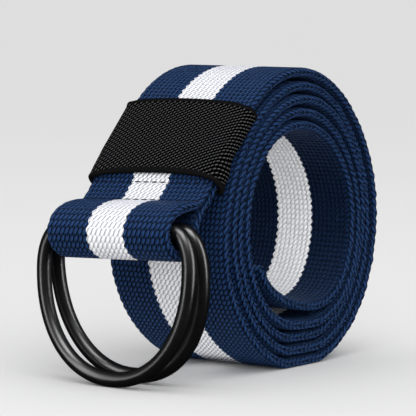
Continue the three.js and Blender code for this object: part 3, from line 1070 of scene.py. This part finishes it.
metal_material, tree, shader = new_material("satin_black_coat")
where = tree.nodes.new("ShaderNodeTexCoord")
grain = tree.nodes.new("ShaderNodeTexNoise")
grain.inputs["Scale"].default_value = GRAIN_SCALE
grain.inputs["Detail"].default_value = 3
rub = tree.nodes.new("ShaderNodeTexNoise")
rub.inputs["Scale"].default_value = RUB_SCALE
tree.links.new(where.outputs["Object"], grain.inputs["Vector"])
tree.links.new(where.outputs["Object"], rub.inputs["Vector"])
rough = ranged(tree, rub.outputs[0], RUB_FROM, RUB_TO, COAT_SMOOTHEST, COAT_ROUGHEST)
tree.links.new(rough, shader.inputs["Roughness"])
tone = mixed(tree, grain.outputs[0], COAT_DARK, COAT_LIGHT)
tree.links.new(tone, shader.inputs["Base Color"])
bumped(tree, shader, grain.outputs[0], GRAIN_DEPTH)
shader.inputs["Specular IOR Level"].default_value = 0.6
for ring in rings.values():
    ring.data.materials.append(metal_material)
print("coat nodes:", len(tree.nodes))

# %% [markdown]
# Two rows of lockstitches close the loop. A stitch is a short bead of thread, so one bead
# is repeated along a line by Geometry Nodes, on the front and again behind. The groove
# that the thread pulls into the cloth is already in the strap's section.

# %% Stitches on a line
STITCH_LENGTH = 2.1 * MM
STITCH_PITCH = 2.5 * MM
THREAD_RADIUS = 0.2 * MM
BEAD_SIDES, BEAD_RINGS = 8, 5

stitch_tree = bpy.data.node_groups.new("stitches_on_a_line", "GeometryNodeTree")
stitch_tree.interface.new_socket("Geometry", in_out="INPUT", socket_type="NodeSocketGeometry")
stitch_sizes = {
    "Stitch Pitch": STITCH_PITCH,
    "Stitch Length": STITCH_LENGTH,
    "Thread Radius": THREAD_RADIUS,
}
for name in stitch_sizes:
    stitch_tree.interface.new_socket(name, in_out="INPUT", socket_type="NodeSocketFloat")
stitch_tree.interface.new_socket("Thread", in_out="INPUT", socket_type="NodeSocketMaterial")
stitch_tree.interface.new_socket("Geometry", in_out="OUTPUT", socket_type="NodeSocketGeometry")
nodes, links = stitch_tree.nodes, stitch_tree.links
entry = nodes.new("NodeGroupInput")
exit_node = nodes.new("NodeGroupOutput")
to_curve = nodes.new("GeometryNodeMeshToCurve")
spaced = nodes.new("GeometryNodeResampleCurve")
spaced.mode = "LENGTH"
tangent = nodes.new("GeometryNodeInputTangent")
turn_to = nodes.new("FunctionNodeAlignRotationToVector")
turn_to.axis = "X"
on_points = nodes.new("GeometryNodeInstanceOnPoints")
bead = nodes.new("GeometryNodeMeshUVSphere")
bead.inputs["Segments"].default_value = BEAD_SIDES
bead.inputs["Rings"].default_value = BEAD_RINGS
bead.inputs["Radius"].default_value = 1
half_length = nodes.new("ShaderNodeMath")
half_length.operation = "MULTIPLY"
half_length.inputs[1].default_value = 0.5
bead_size = nodes.new("ShaderNodeCombineXYZ")
shape = nodes.new("GeometryNodeTransform")
realize = nodes.new("GeometryNodeRealizeInstances")
paint = nodes.new("GeometryNodeSetMaterial")
smooth = nodes.new("GeometryNodeSetShadeSmooth")
for output, socket in (
    (entry.outputs["Geometry"], to_curve.inputs[0]),
    (to_curve.outputs[0], spaced.inputs["Curve"]),
    (entry.outputs["Stitch Pitch"], spaced.inputs["Length"]),
    (spaced.outputs[0], on_points.inputs["Points"]),
    (tangent.outputs[0], turn_to.inputs["Vector"]),
    (turn_to.outputs[0], on_points.inputs["Rotation"]),
    (entry.outputs["Stitch Length"], half_length.inputs[0]),
    (half_length.outputs[0], bead_size.inputs["X"]),
    (entry.outputs["Thread Radius"], bead_size.inputs["Y"]),
    (entry.outputs["Thread Radius"], bead_size.inputs["Z"]),
    (bead.outputs[0], shape.inputs["Geometry"]),
    (bead_size.outputs[0], shape.inputs["Scale"]),
    (shape.outputs[0], on_points.inputs["Instance"]),
    (on_points.outputs[0], realize.inputs[0]),
    (realize.outputs[0], smooth.inputs[0]),
    (smooth.outputs[0], paint.inputs[0]),
    (entry.outputs["Thread"], paint.inputs["Material"]),
    (paint.outputs[0], exit_node.inputs[0]),
):
    links.new(output, socket)
print("stitch group nodes:", len(nodes))

# %% Thread material
THREAD_DARK = (0.002, 0.004, 0.014, 1)
THREAD_LIGHT = (0.005, 0.010, 0.035, 1)
THREAD_RELIEF = 0.05 * MM

thread_material, tree, shader = new_material("navy_thread")
uneven = group_node(tree, yarn)
tone = mixed(tree, uneven.outputs["Fibre"], THREAD_DARK, THREAD_LIGHT)
tree.links.new(tone, shader.inputs["Base Color"])
bumped(tree, shader, uneven.outputs["Fibre"], THREAD_RELIEF)
shader.inputs["Roughness"].default_value = 0.7
shader.inputs["Specular IOR Level"].default_value = 0.08
print("thread nodes:", len(tree.nodes))

# %% Rows of stitches
STITCH_MARGIN = 1.6
THREAD_PROUD = 0.4 * THREAD_RADIUS / MM

row_points = []
row_edges = []
reach = STRAP_WIDTH / 2 - STITCH_MARGIN
for place in row_places:
    front_off = thickness[place] / 2 - GROOVE_DEPTH + THREAD_PROUD
    rear_off = -1.5 * thickness[place] - FOLD_BACK_GAP - THREAD_PROUD
    for off in (front_off, rear_off):
        ends = placed(
            middle[[place, place]], normal[[place, place]], twist[[place, place]],
            np.zeros(2), np.array((-reach, reach)), off,
        )
        row_edges.append((len(row_points), len(row_points) + 1))
        row_points += ends.tolist()
row_mesh = bpy.data.meshes.new("stitch_rows")
row_mesh.from_pydata(row_points, row_edges, [])
row_source = put("stitch_rows", row_mesh)
modifier = row_source.modifiers.new("stitches", "NODES")
modifier.node_group = stitch_tree
sockets = {}
for item in stitch_tree.interface.items_tree:
    if item.in_out == "INPUT":
        sockets[item.name] = item.identifier
for name, size in stitch_sizes.items():
    modifier[sockets[name]] = size
modifier[sockets["Thread"]] = thread_material
evaluated = row_source.evaluated_get(bpy.context.evaluated_depsgraph_get())
stitch_mesh = bpy.data.meshes.new_from_object(evaluated)
stitch_mesh.name = "loop_stitches"
bpy.data.objects.remove(row_source)
stitches = put("loop_stitches", stitch_mesh)
print("stitches:", len(stitch_mesh.polygons), "faces")

# %% [markdown]
# Each piece is now tied to the body that carries it. The cloth, the keeper and the stitches
# stay with the belt, and each ring swings on its own joint.

# %% Ties to the frame
ties = [
    (webbing, "belt", "webbing", "webbing"),
    (keeper, "belt", "elastic", "keeper"),
    (rings["front"], "ring_front", "ring_metal", "d_ring_front"),
    (rings["back"], "ring_back", "ring_metal", "d_ring_back"),
    (stitches, "belt", "webbing", None),
]
for piece, body, slot_name, node in ties:
    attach(piece, body)
    if node:
        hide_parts(node)
print("pieces tied to the frame:", len(ties))

# %% Sizes of the CAD model and of the visual pieces
visual_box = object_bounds()
for name, corners in (("CAD", cad_box), ("visual", visual_box)):
    print(name, "box mm:", [[round(v / MM, 2) for v in corner] for corner in corners])
